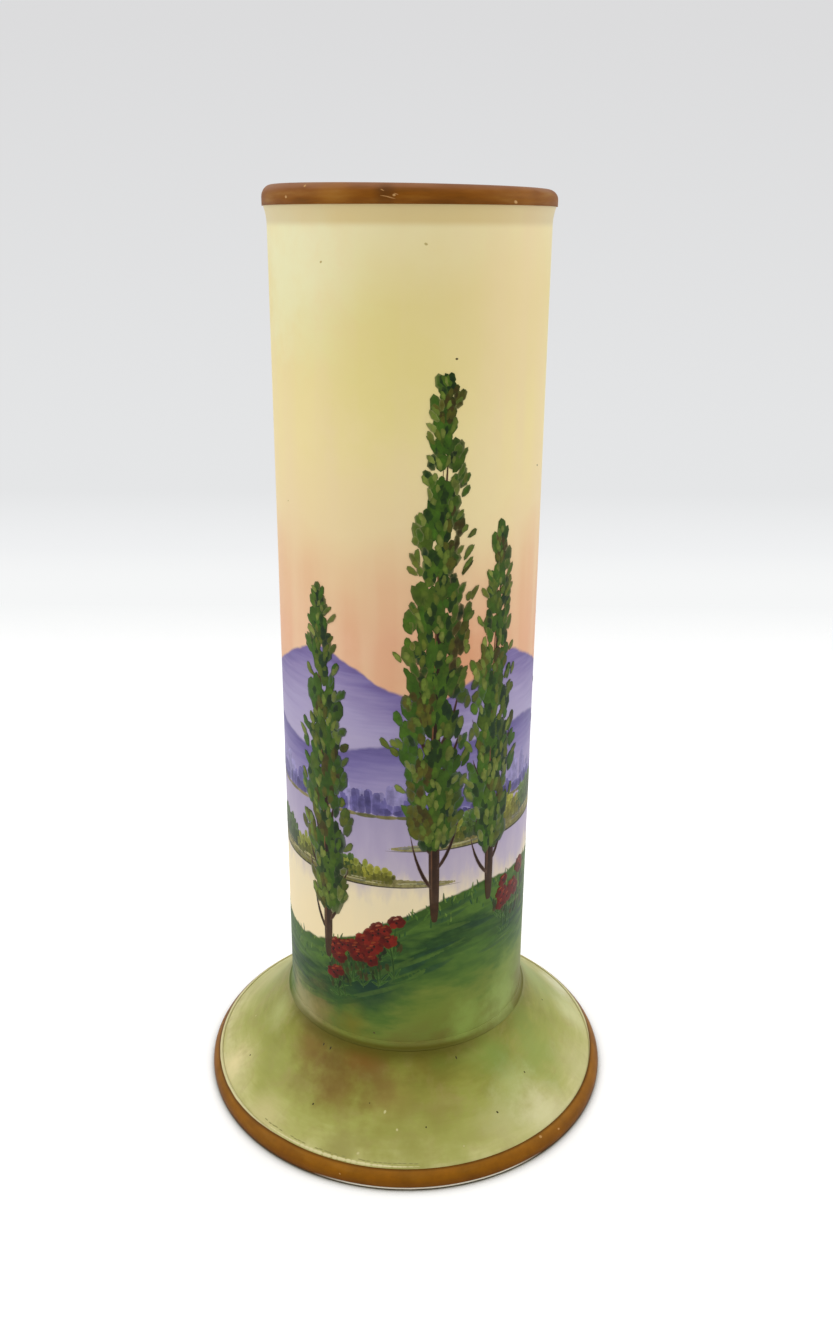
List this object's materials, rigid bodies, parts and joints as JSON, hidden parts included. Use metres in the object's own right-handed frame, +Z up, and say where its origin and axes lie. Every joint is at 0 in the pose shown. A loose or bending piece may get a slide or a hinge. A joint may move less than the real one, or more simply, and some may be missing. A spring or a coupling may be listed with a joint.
{
  "type": "bud vase",
  "caption": "Tall narrow bud vase: an open cylinder with a rolled lip on a flared round foot, painted with a landscape.",
  "frame": {"origin": "centre of the foot's base ring, on the plane that the vase stands on", "axes": "+Z up along the vase's axis of symmetry; the painted front faces -Y"},
  "size_m": [0.0794, 0.0794, 0.166],
  "materials": {
    "body_glaze": "satin, hand painted",
    "foot_glaze": "satin, mottled green",
    "slip": "matt",
    "band_enamel": "satin"
  },
  "bodies": {
    "root": {"vase_body": "body_glaze", "flared_foot": "foot_glaze", "slip_joint": "slip", "lip_band": "band_enamel", "foot_band": "band_enamel"}
  },
  "joints": []
}
